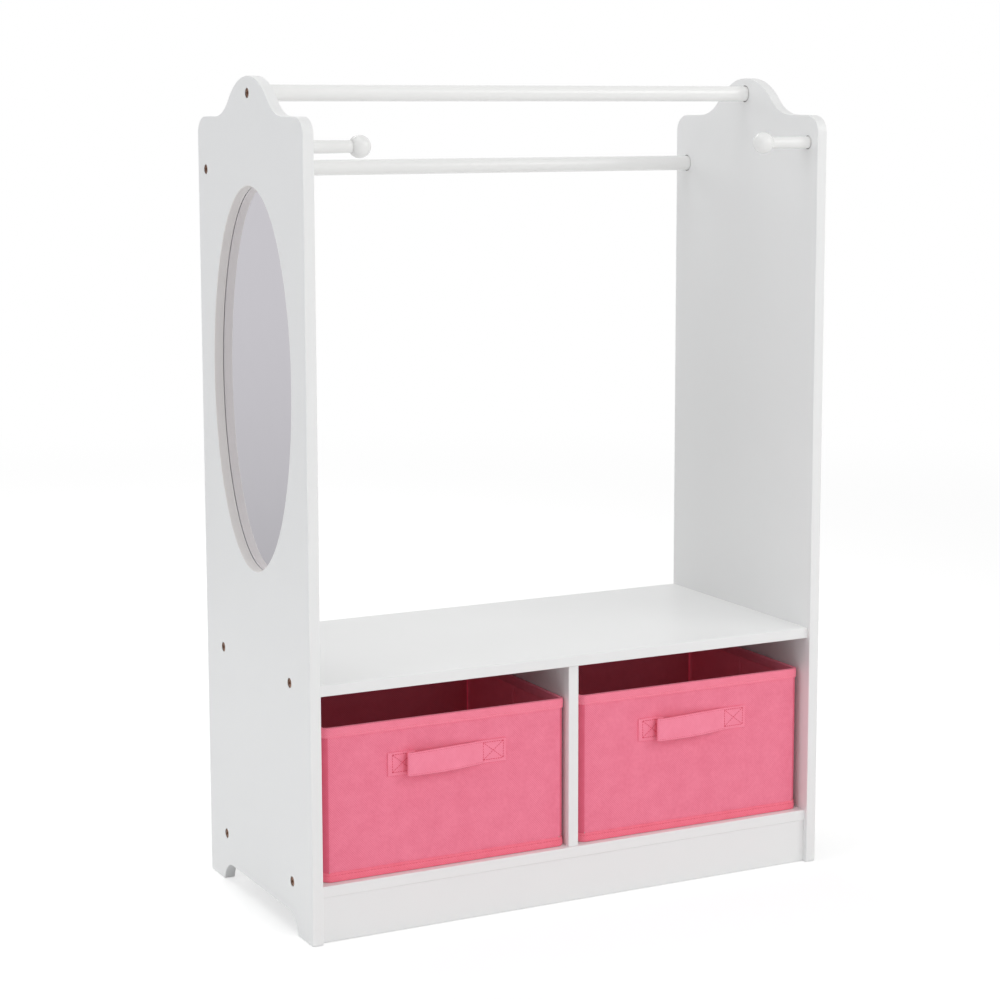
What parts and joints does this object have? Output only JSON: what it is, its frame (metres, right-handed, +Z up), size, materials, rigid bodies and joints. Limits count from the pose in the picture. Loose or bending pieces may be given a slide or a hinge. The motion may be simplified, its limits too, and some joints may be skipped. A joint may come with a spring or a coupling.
{
  "type": "children's dress-up storage unit",
  "caption": "Open wardrobe for a child with crowned side panels, oval side mirror, hanging rods, pegs and sliding fabric bins.",
  "frame": {"origin": "on the floor under the middle of the cabinet", "axes": "+X to the right seen from the front, +Y to the back, +Z up"},
  "size_m": [0.72, 0.342, 1.029],
  "materials": {
    "painted_board": "fibreboard with satin white paint, eased edges",
    "painted_dowel": "turned wood with satin white paint",
    "white_hardboard": "thin hardboard with a smooth white face",
    "mirror": "silvered acrylic sheet",
    "bronze_steel": "steel with an antique bronze finish",
    "zinc_steel": "zinc plated",
    "beech": "plain beech, fluted dowel",
    "pink_fabric": "non-woven fabric with a fine embossed dot",
    "pink_lining": "thin non-woven lining",
    "grey_card": "pressed grey card"
  },
  "bodies": {
    "cabinet": {"left_side_panel": "painted_board", "right_side_panel": "painted_board", "top_shelf": "painted_board", "bottom_shelf": "painted_board", "centre_divider": "painted_board", "front_plinth": "painted_board", "back_board": "white_hardboard", "top_rod": "painted_dowel", "rear_rod": "painted_dowel", "left_peg": "painted_dowel", "right_peg": "painted_dowel", "left_peg_knob": "painted_dowel", "right_peg_knob": "painted_dowel", "mirror_sheet": "mirror", "mirror_backing_board": "white_hardboard", "mirror_screws": "zinc_steel", "rod_bolts": "bronze_steel", "rod_insert_nuts": "zinc_steel", "shelf_bolts": "bronze_steel", "barrel_nuts": "zinc_steel", "shelf_dowels": "beech", "divider_dowels": "beech", "divider_screws": "zinc_steel", "plinth_dowels": "beech"},
    "left_bin": {"left_bin_cover": "pink_fabric", "left_bin_lining": "pink_lining", "left_bin_front_board": "grey_card", "left_bin_back_board": "grey_card", "left_bin_side_board_1": "grey_card", "left_bin_side_board_2": "grey_card", "left_bin_side_board_3": "grey_card", "left_bin_side_board_4": "grey_card", "left_bin_base_board": "pink_lining", "left_bin_rim_tape": "pink_fabric", "left_bin_handle": "pink_fabric"},
    "right_bin": {"right_bin_cover": "pink_fabric", "right_bin_lining": "pink_lining", "right_bin_front_board": "grey_card", "right_bin_back_board": "grey_card", "right_bin_side_board_1": "grey_card", "right_bin_side_board_2": "grey_card", "right_bin_side_board_3": "grey_card", "right_bin_side_board_4": "grey_card", "right_bin_base_board": "pink_lining", "right_bin_rim_tape": "pink_fabric", "right_bin_handle": "pink_fabric"}
  },
  "joints": [
    {"name": "left_bin_slide", "type": "slide", "parent": "cabinet", "child": "left_bin", "axis": [0, -1, 0], "range_m": [0, 0.26]},
    {"name": "right_bin_slide", "type": "slide", "parent": "cabinet", "child": "right_bin", "axis": [0, -1, 0], "range_m": [0, 0.26]}
  ]
}
